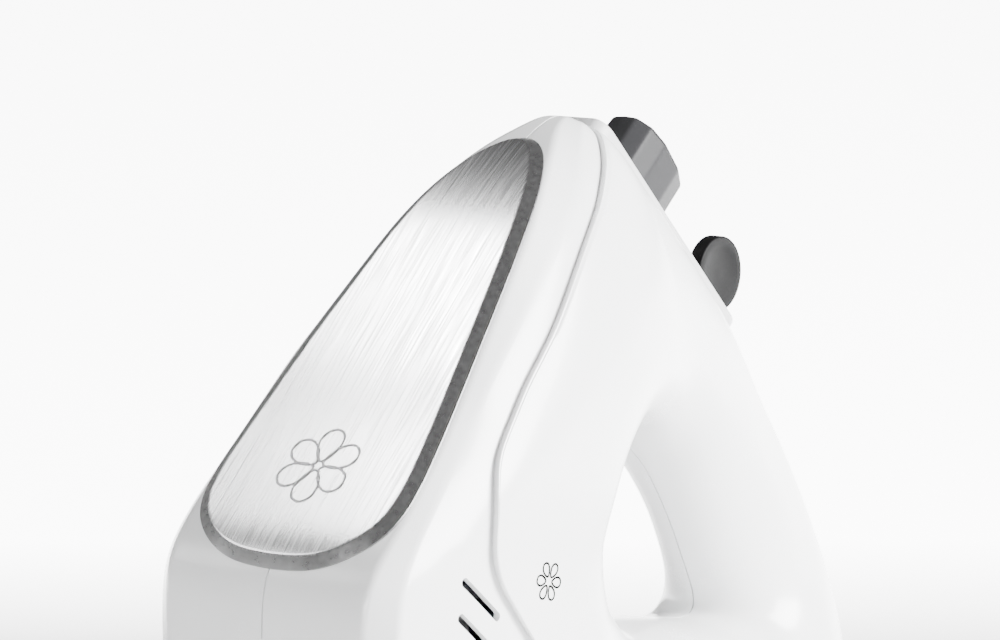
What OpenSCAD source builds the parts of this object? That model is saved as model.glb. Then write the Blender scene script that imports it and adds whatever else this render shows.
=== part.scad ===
// Hand mixer motor unit: a hollow two-part housing with a loop handle, an eject button,
// a sideways speed slider, and a motor that turns two beater sockets through a worm.
// Millimetres. X is across, +Y is backwards, +Z is up. The base stands on Z = 0.

/* [Housing] */
// Wall thickness of the two housing halves
wall = 3; // [2:0.5:3.5]
// How far the main shell stands proud of the nose
step_h = 2; // [0.5:0.5:2.5]
// Rows computed between two neighbouring sections of the loop
rows_per_span = 2; // [1:1:3]

/* [Front panel] */
// Thickness of the brushed metal panel
panel_t = 2; // [1:0.5:2.5]
// Width of the panel's bevelled edge
panel_bevel = 2.4; // [1:0.2:3]
// Height of the raised mark on the panel
emblem_t = 0.4; // [0.2:0.1:0.6]

/* [Eject button] */
// Length of the button along the handle
button_l = 27; // [20:1:28]
// Width of the button
button_w = 17; // [14:1:20]
// Height of the button above the handle
button_h = 15.5; // [10:0.5:16]
// Travel of the button and of the ejector
eject_travel = 8; // [5:1:9]
// Angle of the button's line of travel above the horizontal
eject_tilt = 40; // [38:1:42]

/* [Speed slider] */
// Radius of the slider's round tab
tab_r = 9.5; // [8:0.5:11]
// Thickness of the tab
tab_t = 4; // [3:0.5:5]
// Distance of the tab from the centre plane in its off position
tab_x = 7; // [6:0.5:7]

/* [Drive] */
// Height of the motor shaft above the base
shaft_z = 27; // [26:0.5:28]
// Radius of the motor shaft
shaft_r = 2.5; // [2:0.1:3]
// Distance of each beater socket from the centre plane
socket_x = 17.8; // [17.6:0.1:18]
// Bore radius of a beater socket
socket_r = 4.1; // [3.5:0.1:4.3]
// Outer radius of a spindle
spindle_r = 7; // [6.5:0.1:7]
// Tooth count of each worm wheel
wheel_teeth = 28; // [24:1:30]
// Starts of the worm
worm_starts = 2; // [1:1:2]
// Radial clearance of every running fit
run_fit = 0.05; // [0.02:0.01:0.08]

/* [Cord inlet] */
// Bore radius of the rubber gland
gland_r = 3.2; // [2.5:0.1:3.6]
// Height of the gland above the base
gland_z = 21; // [19:1:23]

/* [Hidden] */
$fn = 48;

socket_y = -62;
// Handle top: a straight run from the nose to the end of the control strip
strip_o = [34.5, 134.6];
strip_a = 46.8;
strip_l = 77;
strip_w = 26;
strip_top_w = 18;
// Button and slider stand on the handle top, measured along it from strip_o
button_c = [27, 142];
slider_s = 27;

// One row per section of the housing loop. A section runs from the outer middle line to the
// inner one: [outer y, outer z, inner y, inner z, half width, place of the widest point,
// roundness outside, roundness inside, crease half width, crease depth, step depth,
// panel half width]. A step depth of 0 means there is no nose on that section.
STATIONS = [
    [-110.5, 58, -14.2, 63, 40, .62, 5.2, 2.6, 34.6, 6, 42, 14],
    [-108.5, 70.5, -14.5, 66.5, 40, .62, 5.2, 2.6, 34.4, 7, 33.5, 14],
    [-97.5, 81.8, -14.2, 70.5, 40, .62, 5.1, 2.6, 33.4, 4, 22.5, 28.4],
    [-81, 97.4, -12.8, 75, 39.5, .62, 4.9, 2.6, 31, 3, 9.9, 27.8],
    [-65.5, 113, -9.5, 80, 38, .62, 3.9, 2.6, 29.2, 2.9, 9.6, 25.2],
    [-49.5, 128.3, -3.5, 85.5, 36, .64, 3.3, 2.5, 26.5, 4.3, 11.2, 22],
    [-33.3, 143.7, 5, 88.5, 33, .66, 3, 2.4, 23, 5.8, 11.6, 18.4],
    [-17, 156, 13, 88.5, 30, .68, 2.7, 2.3, 18, 6, 11.5, 10.8],
    [-5, 162.3, 19, 87, 27.5, .7, 2.5, 2.2, 11, 3.4, 8.6, 7],
    [4, 164.2, 24, 84.7, 25, .7, 2.35, 2.1, 6, 1.2, 3.6, 4],
    [13, 157.4, 28, 82.3, 23, .68, 2.3, 2.1, 0, 0, 0, 0],
    [24.5, 145.2, 31.3, 80, 21.5, .62, 2.6, 2.1, 0, 0, 0, 0],
    [38, 130.9, 34.8, 77.2, 20.3, .56, 2.9, 2.1, 0, 0, 0, 0],
    [52, 115.9, 38.8, 73.6, 19.3, .52, 3.2, 2, 0, 0, 0, 0],
    [64.4, 103.6, 43, 68.4, 17.9, .5, 2.7, 2, 0, 0, 0, 0],
    [75.5, 91.2, 47.5, 62, 16.8, .48, 2.3, 2, 0, 0, 0, 0],
    [85.5, 79, 51.5, 55.6, 16.5, .47, 2.2, 2, 0, 0, 0, 0],
    [94.6, 65.7, 55.2, 48.8, 16.8, .47, 2.2, 2, 0, 0, 0, 0],
    [101.8, 52.8, 58.3, 43, 17.6, .47, 2.2, 2, 0, 0, 0, 0],
    [106.9, 40, 60.6, 38, 19, .48, 2.3, 2, 0, 0, 0, 0],
    [109.5, 27, 60.6, 34, 21, .5, 2.5, 2, 0, 0, 0, 0],
    [109.5, 14, 57, 32.6, 23.5, .5, 2.7, 2, 0, 0, 0, 0],
    [102, 5.2, 51, 33.2, 26, .5, 3, 2, 0, 0, 0, 0],
    [88, 3, 43, 34.6, 28.5, .5, 3.2, 2, 0, 0, 0, 0],
    [66, 3, 34, 36, 31, .5, 3.4, 2, 0, 0, 0, 0],
    [40, 3, 25, 37.4, 33, .5, 3.5, 2, 0, 0, 0, 0],
    [12, 3, 16, 38.8, 35, .5, 3.6, 2.1, 0, 0, 0, 0],
    [-16, 3, 8, 40.4, 37, .5, 3.7, 2.2, 0, 0, 0, 0],
    [-42, 3, 1.5, 42.8, 38.5, .5, 3.8, 2.4, 0, 0, 0, 0],
    [-66, 3, -4, 46.6, 39.5, .54, 4, 2.5, 29, 1.5, 22, 14],
    [-85, 3, -8.5, 51, 40, .58, 4.4, 2.6, 30, 2.5, 44, 14],
    [-98.5, 10.5, -11.5, 55, 40, .6, 4.8, 2.6, 31, 3.5, 56, 14],
    [-106.5, 26, -13.2, 58.6, 40, .62, 5, 2.6, 33, 4.5, 54, 14],
    [-110, 43, -13.8, 61, 40, .62, 5.2, 2.6, 34.2, 5.4, 49, 14]];

function cubic(a, b, c, d, t) =
    0.5 * (2 * b + (c - a) * t + (2 * a - 5 * b + 4 * c - d) * t * t
    + (3 * b - a - 3 * c + d) * t * t * t);
function station(u) =
    let (n = len(STATIONS), i = floor(u), t = u - i)
    cubic(STATIONS[(i - 1 + n) % n], STATIONS[i % n], STATIONS[(i + 1) % n],
        STATIONS[(i + 2) % n], t);
function has_nose(u) = let (n = len(STATIONS))
    STATIONS[floor(u) % n][10] > 0 && STATIONS[ceil(u) % n][10] > 0;
// A point of section s at depth d from the outer middle line and x from the centre plane
function at(s, d, x) = let (v = [s[2] - s[0], s[3] - s[1]], e = v / norm(v))
    [x, s[0] + e[0] * d, s[1] + e[1] * d];
// Superelliptic section: f = 0 on the outer middle line, 90 at the widest point, 180 inside
function ring(s, f, w, d0, d1) =
    let (m = d0 + (d1 - d0) * s[5])
    f <= 90
    ? at(s, m - (m - d0) * pow(cos(f), 2 / s[6]), w * pow(sin(f), 2 / s[6]))
    : at(s, m + (d1 - m) * pow(abs(cos(f)), 2 / s[7]), w * pow(abs(sin(f)), 2 / s[7]));
function step_angle(s, len_s) = acos(pow(1 - s[10] / (len_s * s[5]), s[6] / 2));
OUT_N = 6;
IN_N = 7;
function outer_row(u) =
    let (s = station(u), nose = has_nose(u), d = norm([s[2] - s[0], s[3] - s[1]]),
        fb = nose ? step_angle(s, d) : 42,
        b = ring(s, fb, s[4], 0, d))
    concat(
        nose
        ? [at(s, 0, 0), at(s, 0.1, min(s[11] + 0.4, s[8] * 0.95)), at(s, s[8] > 0 ? s[9] : 0, s[8]),
            at(s, s[10] - 0.3, b[0] - step_h)]
        : [for (i = [0:3]) ring(s, fb * i / 4, s[4], 0, d)],
        [for (i = [0:OUT_N - 1]) ring(s, fb + (90 - fb) * i / OUT_N, s[4], 0, d)],
        [for (i = [0:IN_N]) ring(s, 90 + 90 * i / IN_N, s[4], 0, d)]);
function inner_row(u) =
    let (s = station(u), nose = has_nose(u), d = norm([s[2] - s[0], s[3] - s[1]]),
        w = s[4] - wall - (nose ? step_h * 0.8 : 0))
    [for (i = [0:3 + OUT_N]) ring(s, 90 * i / (4 + OUT_N), w, wall, d - wall),
        for (i = [0:IN_N]) ring(s, 90 + 90 * i / IN_N, w, wall, d - wall)];

// The shell of the half at +X: outer grid, inner grid and the two flat rims at X = 0
module half_shell() {
    nu = len(STATIONS) * rows_per_span;
    outer = [for (k = [0:nu - 1]) outer_row(k / rows_per_span)];
    inner = [for (k = [0:nu - 1]) inner_row(k / rows_per_span)];
    nv = len(outer[0]);
    pts = concat([for (r = outer) each r], [for (r = inner) each r]);
    function o(k, j) = (k % nu) * nv + j;
    function n(k, j) = nu * nv + (k % nu) * nv + j;
    faces = [for (k = [0:nu - 1]) each concat(
        [for (j = [0:nv - 2]) each [
            [o(k, j), o(k, j + 1), o(k + 1, j + 1)], [o(k, j), o(k + 1, j + 1), o(k + 1, j)],
            [n(k, j), n(k + 1, j + 1), n(k, j + 1)], [n(k, j), n(k + 1, j), n(k + 1, j + 1)]]],
        [[o(k, 0), o(k + 1, 0), n(k + 1, 0)], [o(k, 0), n(k + 1, 0), n(k, 0)],
            [o(k, nv - 1), n(k + 1, nv - 1), o(k + 1, nv - 1)],
            [o(k, nv - 1), n(k, nv - 1), n(k + 1, nv - 1)]])];
    polyhedron(points = pts, faces = faces, convexity = 8);
}

// Places children in the handle-top frame: X across, Y along the handle, Z out of it
module on_handle(along = 0, out = 0) {
    translate([0, strip_o[0], strip_o[1]])
        rotate([-strip_a, 0, 0])
            translate([0, along, out])
                children();
}
// Frame of the eject button: Z is the outward line of travel
module on_button() {
    translate([0, button_c[0], button_c[1]])
        rotate([-(90 - eject_tilt), 0, 0])
            children();
}
module rod_x(y, z, x0, x1, r) {
    translate([x0, y, z])
        rotate([0, 90, 0])
            cylinder(r = r, h = x1 - x0);
}
module rod_y(y0, y1, z, r, x = 0) {
    translate([x, y0, z])
        rotate([-90, 0, 0])
            cylinder(r = r, h = y1 - y0);
}
module stadium(l, w, h, z0 = 0) {
    translate([0, 0, z0])
        linear_extrude(height = h)
            union() {
                square([w, l - w], center = true);
                for (s = [-1, 1])
                    translate([0, s * (l - w) / 2])
                        circle(d = w);
            }
}
// The control strip narrows towards the top of the handle
module strip_blank(h, gap) {
    linear_extrude(height = h)
        polygon([
            [-strip_top_w / 2 - gap, -strip_l / 2 - gap],
            [strip_top_w / 2 + gap, -strip_l / 2 - gap],
            [strip_w / 2 + gap, strip_l / 2 + gap],
            [-strip_w / 2 - gap, strip_l / 2 + gap]]);
}
SCREWS = [[-97, 46], [-20, 95], [55, 88], [97, 30], [36, 20]];
SLOTS = 5;
module vent_slots() {
    for (i = [0:SLOTS - 1])
        translate([20, -86 - i * 1.2, 68 - i * 8])
            rotate([-40, 0, 0])
                cube([30, 17, 2.2]);
}
module housing_cuts() {
    on_handle(0, -3.1)
        strip_blank(30, 0.2);
    on_handle(-2, -8)
        translate([-11, -strip_l / 2 + 8, 0])
            cube([22, strip_l - 14, 12]);
    rod_y(90, 120, gland_z, 6.05);
    on_handle(slider_s, -9.2)
        translate([-12.3, -10, 0])
            cube([24.6, 20, 9]);
    translate([socket_x, socket_y, -1])
        cylinder(r = spindle_r + 0.6, h = 9);
}

module housing_right() {
    color([0.95, 0.95, 0.95])
        difference() {
            half_shell();
            housing_cuts();
            vent_slots();
        }
}
module housing_left() {
    color([0.95, 0.95, 0.95])
        mirror([1, 0, 0])
            difference() {
                half_shell();
                housing_cuts();
                vent_slots();
                for (p = SCREWS)
                    rod_x(p[0], p[1], 8, 50, 3.3);
            }
}

// The panel is lofted along the front line, a little above the trim surface
function front(u) = let (s = station(u)) [s[0], s[1]];
function front_n(u) = let (t = front(u + 0.02) - front(u - 0.02)) [-t[1], t[0]] / norm(t);
PANEL_U0 = 1.1;
PANEL_U1 = 7.55;
PANEL_N = 22;
function panel_half(k) =
    let (t = k / PANEL_N, s = station(PANEL_U0 + (PANEL_U1 - PANEL_U0) * t),
        round0 = sqrt(1 - pow(1 - min(1, t / 0.13), 2)),
        round1 = sqrt(1 - pow(1 - min(1, (1 - t) / 0.2), 2)))
    max(1.2, min(28.6, s[11] + (t < 0.2 ? 14 : 0), t > 0.75 ? 19.6 : 99)
        * max(0.09, min(round0, round1)));
function panel_ring(k) =
    let (u = PANEL_U0 + (PANEL_U1 - PANEL_U0) * k / PANEL_N, f = front(u), nn = front_n(u),
        h = panel_half(k), end = (k == 0 || k == PANEL_N), hb = max(0.6, h - panel_bevel),
        top = end ? 0.35 : panel_t)
    [for (q = [[-h, 0.1], [h, 0.1], [hb, top], [-hb, top]])
        [q[0], f[0] + nn[0] * q[1], f[1] + nn[1] * q[1]]];
module front_panel() {
    rows = [for (k = [0:PANEL_N]) panel_ring(k)];
    color([0.75, 0.75, 0.76])
        polyhedron(points = [for (r = rows) each r], faces = concat(
            [[0, 3, 2], [0, 2, 1]],
            [for (k = [0:PANEL_N - 1], j = [0:3]) each [
                [4 * k + j, 4 * k + (j + 1) % 4, 4 * k + 4 + (j + 1) % 4],
                [4 * k + j, 4 * k + 4 + (j + 1) % 4, 4 * k + 4 + j]]],
            [[4 * PANEL_N, 4 * PANEL_N + 1, 4 * PANEL_N + 2],
                [4 * PANEL_N, 4 * PANEL_N + 2, 4 * PANEL_N + 3]]), convexity = 4);
}
// Rosette mark: three almond outlines turned about its middle
module almond(l, w) {
    r = (l * l + w * w) / (4 * w);
    intersection() {
        translate([r - w / 2, 0])
            circle(r = r, $fn = 96);
        translate([-(r - w / 2), 0])
            circle(r = r, $fn = 96);
    }
}
module emblem() {
    u = 2.52;
    f = front(u);
    nn = front_n(u);
    color([0.7, 0.7, 0.71])
        translate([0, f[0] + nn[0] * (panel_t + 0.12), f[1] + nn[1] * (panel_t + 0.12)])
            rotate([acos(nn[1]), 0, 0])
                linear_extrude(height = emblem_t)
                    for (a = [0, 60, 120])
                        rotate(a)
                            difference() {
                                almond(20, 8);
                                almond(17.2, 6.2);
                            }
}
module control_strip() {
    color([0.8, 0.8, 0.8])
        difference() {
            on_handle(0, -3)
                strip_blank(3.4, 0);
            on_button()
                stadium(button_l + 0.8, button_w + 0.8, 30, -15);
            on_handle(slider_s, -6)
                translate([-11.3, -8.3, 0])
                    cube([22.6, 16.6, 12]);
        }
}
module base_plate() {
    color([0.45, 0.45, 0.46])
        difference() {
            linear_extrude(height = 2.2)
                hull() {
                    for (s = [-1, 1], p = [[18, -72, 12], [21, -40, 12], [10, 82, 9]])
                        translate([s * p[0], p[1]])
                            circle(r = p[2], $fn = 32);
                }
            for (s = [-1, 1])
                translate([s * socket_x, socket_y, -1])
                    cylinder(r = spindle_r + 0.6, h = 5);
            for (i = [0:5])
                translate([-14, -44 + i * 7, -1])
                    cube([28, 2.4, 5]);
            for (p = [[0, -76], [0, 40], [0, 80]])
                translate([p[0], p[1], -1])
                    cylinder(r = 1.6, h = 5);
        }
}
module base_screws() {
    color([0.6, 0.6, 0.62])
        for (p = [[0, -76], [0, 40], [0, 80]])
            translate([p[0], p[1], 0.4])
                difference() {
                    cylinder(r = 1.55, h = 1.8);
                    translate([-1.2, -0.25, -0.1])
                        cube([2.4, 0.5, 0.6]);
                }
}
module housing_screws() {
    color([0.6, 0.6, 0.62])
        for (i = [0:len(SCREWS) - 1]) {
            p = SCREWS[i];
            rod_x(p[0], p[1], -12, -9, 3);
            rod_x(p[0], p[1], -9, 9, 1.5);
        }
}
module gearbox_frame() {
    color([0.35, 0.36, 0.38])
        difference() {
            union() {
                translate([-27, -82, 9])
                    cube([54, 36, 4]);
                translate([-27, -82, 40])
                    cube([54, 36, 4]);
                translate([-12, -82, 13])
                    cube([24, 5, 27]);
                translate([-27, -48.3, 13])
                    cube([54, 2.3, 27]);
                translate([-5, -74, 44])
                    cube([10, 6, 22.8]);
                translate([-5, -74, 62.4])
                    cube([10, 12, 4.4]);
                translate([0, socket_y, 62.4])
                    cylinder(r = 6, h = 4.4);
            }
            for (s = [-1, 1])
                translate([s * socket_x, socket_y, 0])
                    cylinder(r = 9.5, h = 60);
            translate([0, socket_y, 60])
                cylinder(r = 3 + run_fit, h = 12);
            rod_y(-84, -70, shaft_z, 6);
            rod_y(-52, -44, shaft_z, 9);
        }
}
module spindle_bushes() {
    color([0.72, 0.5, 0.25])
        for (s = [-1, 1], z = [9, 40])
            translate([s * socket_x, socket_y, z])
                difference() {
                    cylinder(r = 9.5, h = 4);
                    translate([0, 0, -1])
                        cylinder(r = spindle_r + run_fit, h = 6);
                }
}
module bearing(y0, y1, r) {
    color([0.72, 0.5, 0.25])
        difference() {
            rod_y(y0, y1, shaft_z, r);
            rod_y(y0 - 1, y1 + 1, shaft_z, shaft_r + run_fit);
        }
}
module front_bearing() {
    bearing(-82, -77, 6);
}
module rear_bearing() {
    bearing(9, 14, 6.5);
}
module motor_cradle() {
    color([0.3, 0.3, 0.32])
        difference() {
            union() {
                translate([-16, -37, 6.4])
                    cube([32, 51, 1.6]);
                translate([-13, 9, 6.4])
                    cube([26, 5, 29]);
            }
            rod_y(5, 20, shaft_z, 6.5);
        }
}
module field_stack() {
    color([0.5, 0.5, 0.52])
        difference() {
            translate([-22, -37, 8])
                cube([44, 22, 38]);
            rod_y(-40, -10, shaft_z, 12.8);
            for (s = [-1, 1])
                translate([s * 17 - 3.5, -40, shaft_z - 10])
                    cube([7, 30, 20]);
        }
}
module field_coils() {
    color([0.65, 0.35, 0.15])
        for (s = [-1, 1])
            translate([s * 17 - 3.2, -40, shaft_z - 9.7])
                cube([6.4, 28, 19.4]);
}
module brush_holders() {
    color([0.2, 0.2, 0.22])
        for (s = [-1, 1])
            translate([s * 15.5, -2, shaft_z])
                difference() {
                    cube([10, 10, 12], center = true);
                    cube([12, 4.4, 6.4], center = true);
                }
}
module carbon_brushes() {
    color([0.12, 0.12, 0.12])
        for (s = [-1, 1])
            translate([s * 14, -2, shaft_z])
                cube([9, 4, 6], center = true);
}
module rotor_shaft() {
    color([0.7, 0.7, 0.72])
        rod_y(-83, 16, shaft_z, shaft_r);
}
module armature_core() {
    color([0.45, 0.45, 0.47])
        difference() {
            rod_y(-37, -15, shaft_z, 12);
            rod_y(-38, -14, shaft_z, shaft_r);
            for (i = [0:9])
                translate([0, -38, shaft_z])
                    rotate([0, i * 36, 0])
                        translate([8.6, 0, -0.8])
                            cube([4, 24, 1.6]);
        }
}
module armature_windings() {
    color([0.7, 0.38, 0.16])
        for (y = [[-40.5, -37.2], [-14.8, -10.5]])
            difference() {
                rod_y(y[0], y[1], shaft_z, 10.4);
                rod_y(y[0] - 1, y[1] + 1, shaft_z, shaft_r);
            }
}
module commutator() {
    color([0.75, 0.45, 0.2])
        difference() {
            rod_y(-9, 5, shaft_z, 9);
            rod_y(-10, 6, shaft_z, shaft_r);
        }
}
module fan() {
    color([0.15, 0.15, 0.16])
        difference() {
            union() {
                rod_y(-46, -41.5, shaft_z, 6);
                rod_y(-42.5, -41.5, shaft_z, 17.5);
                for (i = [0:10])
                    translate([0, 0, shaft_z])
                        rotate([0, i * 360 / 11, 0])
                            translate([5, -45.5, -0.6])
                                cube([12, 3.5, 1.2]);
            }
            rod_y(-48, -40, shaft_z, shaft_r);
        }
}
module worm() {
    color([0.65, 0.65, 0.68])
        difference() {
            translate([0, -72, shaft_z])
                rotate([-90, 0, 0])
                    linear_extrude(height = 20, twist = 360 * 20 / 6 / worm_starts,
                        slices = 30)
                        polygon([for (i = [0:11]) let (a = i * 30)
                            (3.55 + 0.4 * cos(worm_starts * a)) * [cos(a), sin(a)]]);
            rod_y(-73, -51, shaft_z, shaft_r);
        }
}
module wheel(r_tip, teeth, depth) {
    linear_extrude(height = 9)
        difference() {
            polygon([for (i = [0:teeth - 1], q = [[0, 0], [.16, 1], [.42, 1], [.58, 0]])
                let (a = 360 * (i + q[0]) / teeth)
                (r_tip - depth * (1 - q[1])) * [cos(a), sin(a)]]);
            circle(r = spindle_r);
        }
}
module gear(s) {
    color([0.85, 0.83, 0.76])
        translate([s * socket_x, socket_y, shaft_z - 4.5])
            wheel(13.3, wheel_teeth, 1.6);
}
module spindle(s) {
    color([0.6, 0.6, 0.62])
        translate([s * socket_x, socket_y, 0])
            difference() {
                union() {
                    translate([0, 0, 1.4])
                        cylinder(r = spindle_r, h = 44.6);
                    translate([0, 0, 13.4])
                        cylinder(r = 9, h = 1.6);
                }
                translate([0, 0, 1])
                    cylinder(r = socket_r, h = 37);
                translate([0, 0, 37])
                    cylinder(r = 3.4, h = 10);
            }
}
module gear_left() {
    gear(-1);
}
module gear_right() {
    gear(1);
}
module spindle_left() {
    spindle(-1);
}
module spindle_right() {
    spindle(1);
}

// The stem's foot and the fork's top meet on a plane tilted so that both travel equally
RAMP = atan((1 - sin(eject_tilt)) / cos(eject_tilt));
ramp_z = 77;
module eject_button() {
    color([0.33, 0.33, 0.34])
        on_button()
            union() {
                stadium(button_l, button_w, button_h + 10, -10);
                stadium(button_l + 1.6, button_w + 1.6, 1.6, -11.6);
            }
}
module eject_stem() {
    e = [cos(eject_tilt), sin(eject_tilt)];
    n = [-e[1], e[0]];
    // The stem's middle line passes under the front end of the button
    c = button_c - 12.2 * e + 8 * n;
    run = (c[0] + 58) / e[0];
    low = c - run * e;
    foot = function(y) ramp_z + 0.3 - (y - socket_y) * tan(RAMP);
    color([0.8, 0.8, 0.8])
        translate([-4, 0, 0])
            rotate([90, 0, 90])
                linear_extrude(height = 8)
                    polygon([[-66, foot(-66)], [-52, foot(-52)], [-50, low[1] + 3],
                        c - 3 * n, c + 3 * n, low + 3 * n, [-66, foot(-66) + 4]]);
}
module ejector_fork() {
    color([0.75, 0.75, 0.76])
        union() {
            difference() {
                translate([0, socket_y, 60])
                    cylinder(r = 3, h = 20);
                translate([-5, socket_y, ramp_z])
                    rotate([-RAMP, 0, 0])
                        translate([0, -8, 0])
                            cube([10, 16, 12]);
            }
            translate([-21, socket_y - 3, 58])
                cube([42, 6, 4]);
            for (s = [-1, 1])
                translate([s * socket_x, socket_y, 42])
                    cylinder(r = 3, h = 18);
        }
}
module eject_spring() {
    turns = 5;
    r = 5;
    n = 16 * turns;
    z0 = 44.5;
    h = 13;
    pts = [for (i = [0:n]) let (a = 360 * i / 16, z = z0 + h * i / n)
        for (j = [0:5]) let (b = 60 * j, rr = r + 0.5 * cos(b))
            [rr * cos(a), socket_y + rr * sin(a), z + 0.5 * sin(b)]];
    color([0.6, 0.6, 0.6])
        polyhedron(points = pts, faces = concat(
            [[0, 1, 2, 3, 4, 5]],
            [for (i = [0:n - 1], j = [0:5]) each [
                [6 * i + j, 6 * i + 6 + j, 6 * i + 6 + (j + 1) % 6],
                [6 * i + j, 6 * i + 6 + (j + 1) % 6, 6 * i + (j + 1) % 6]]],
            [[for (j = [5:-1:0]) 6 * n + j]]), convexity = 10);
}
module speed_slider() {
    color([0.08, 0.08, 0.09])
        on_handle(slider_s)
            union() {
                translate([tab_x - tab_t / 2, 0, 8])
                    rotate([0, 90, 0])
                        cylinder(r = tab_r, h = tab_t);
                translate([tab_x - tab_t / 2, -4.5, -5])
                    cube([tab_t, 9, 8]);
            }
}
module slider_carriage() {
    color([0.2, 0.2, 0.2])
        on_handle(slider_s)
            translate([tab_x - 2.8, -9, -8])
                cube([5.6, 18, 3]);
}
module circuit_board() {
    color([0.1, 0.35, 0.2])
        on_handle(slider_s - 6, -20)
            translate([-12, -13, 0])
                cube([24, 27, 1.6]);
}
module switch_module() {
    color([0.15, 0.15, 0.16])
        on_handle(slider_s, -18.3)
            translate([-8, -8, 0])
                cube([16, 16, 8]);
}
module cord_gland() {
    color([0.2, 0.2, 0.2])
        difference() {
            union() {
                rod_y(100, 112.5, gland_z, 6);
                rod_y(111.2, 113, gland_z, 8);
            }
            rod_y(99, 114, gland_z, gland_r);
        }
}

housing_left();
housing_right();
front_panel();
emblem();
control_strip();
base_plate();
gearbox_frame();
spindle_bushes();
front_bearing();
rear_bearing();
motor_cradle();
field_stack();
field_coils();
brush_holders();
carbon_brushes();
circuit_board();
switch_module();
cord_gland();
housing_screws();
base_screws();
eject_button();
eject_stem();
ejector_fork();
eject_spring();
speed_slider();
slider_carriage();
rotor_shaft();
armature_core();
armature_windings();
commutator();
fan();
worm();
gear_left();
spindle_left();
gear_right();
spindle_right();
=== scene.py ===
import math

import bmesh
import bpy
import numpy as np
from mathutils import Matrix, Vector


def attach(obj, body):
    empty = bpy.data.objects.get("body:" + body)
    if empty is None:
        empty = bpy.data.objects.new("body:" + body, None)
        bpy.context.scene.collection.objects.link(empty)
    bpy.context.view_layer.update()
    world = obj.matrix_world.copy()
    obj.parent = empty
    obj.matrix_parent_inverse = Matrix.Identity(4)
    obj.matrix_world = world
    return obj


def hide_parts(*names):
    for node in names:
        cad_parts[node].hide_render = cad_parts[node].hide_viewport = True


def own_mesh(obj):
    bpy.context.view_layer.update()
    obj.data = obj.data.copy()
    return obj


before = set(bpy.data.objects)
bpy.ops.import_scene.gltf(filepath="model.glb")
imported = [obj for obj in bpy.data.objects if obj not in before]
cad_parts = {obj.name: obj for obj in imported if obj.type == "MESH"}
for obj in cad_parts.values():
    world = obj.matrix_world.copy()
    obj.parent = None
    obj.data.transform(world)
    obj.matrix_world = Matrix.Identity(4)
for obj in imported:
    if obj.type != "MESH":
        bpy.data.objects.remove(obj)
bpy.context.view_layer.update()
MM = 0.001

# ---------------------------------------------------------------- dimensions, in millimetres
# The housing is a closed loop of sections round the finger gap. Each row is a section from the
# outer middle line to the inner one: outer y, outer z, inner y, inner z, half width, place of
# the widest point, roundness outside, roundness inside.
STATIONS = np.array([
    [-110.5, 58, -14.2, 63, 40, 0.62, 5.2, 2.6],
    [-108.5, 70.5, -14.5, 66.5, 40, 0.62, 5.2, 2.6],
    [-97.5, 81.8, -14.2, 70.5, 40, 0.62, 5.1, 2.6],
    [-81, 97.4, -12.8, 75, 39.5, 0.62, 4.9, 2.6],
    [-65.5, 113, -9.5, 80, 38, 0.62, 3.9, 2.6],
    [-49.5, 128.3, -3.5, 85.5, 36, 0.64, 3.3, 2.5],
    [-33.3, 143.7, 5, 88.5, 33, 0.66, 3, 2.4],
    [-17, 156, 13, 88.5, 30, 0.68, 2.7, 2.3],
    [-5, 162.3, 19, 87, 27.5, 0.7, 2.5, 2.2],
    [4, 164.2, 24, 84.7, 25, 0.7, 2.35, 2.1],
    [13, 157.4, 28, 82.3, 23, 0.68, 2.3, 2.1],
    [24.5, 145.2, 31.3, 80, 21.5, 0.62, 2.6, 2.1],
    [38, 130.9, 34.8, 77.2, 20.3, 0.56, 2.9, 2.1],
    [52, 115.9, 38.8, 73.6, 19.3, 0.52, 3.2, 2],
    [64.4, 103.6, 43, 68.4, 17.9, 0.5, 2.7, 2],
    [75.5, 91.2, 47.5, 62, 16.8, 0.48, 2.3, 2],
    [85.5, 79, 51.5, 55.6, 16.5, 0.47, 2.2, 2],
    [94.6, 65.7, 55.2, 48.8, 16.8, 0.47, 2.2, 2],
    [101.8, 52.8, 58.3, 43, 17.6, 0.47, 2.2, 2],
    [106.9, 40, 60.6, 38, 19, 0.48, 2.3, 2],
    [109.5, 27, 60.6, 34, 21, 0.5, 2.5, 2],
    [109.5, 14, 57, 32.6, 23.5, 0.5, 2.7, 2],
    [102, 5.2, 51, 33.2, 26, 0.5, 3, 2],
    [88, 3, 43, 34.6, 28.5, 0.5, 3.2, 2],
    [66, 3, 34, 36, 31, 0.5, 3.4, 2],
    [40, 3, 25, 37.4, 33, 0.5, 3.5, 2],
    [12, 3, 16, 38.8, 35, 0.5, 3.6, 2.1],
    [-16, 3, 8, 40.4, 37, 0.5, 3.7, 2.2],
    [-42, 3, 1.5, 42.8, 38.5, 0.5, 3.8, 2.4],
    [-66, 3, -4, 46.6, 39.5, 0.54, 4, 2.5],
    [-85, 3, -8.5, 51, 40, 0.58, 4.4, 2.6],
    [-98.5, 10.5, -11.5, 55, 40, 0.6, 4.8, 2.6],
    [-106.5, 26, -13.2, 58.6, 40, 0.62, 5, 2.6],
    [-110, 43, -13.8, 61, 40, 0.62, 5.2, 2.6]])
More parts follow.
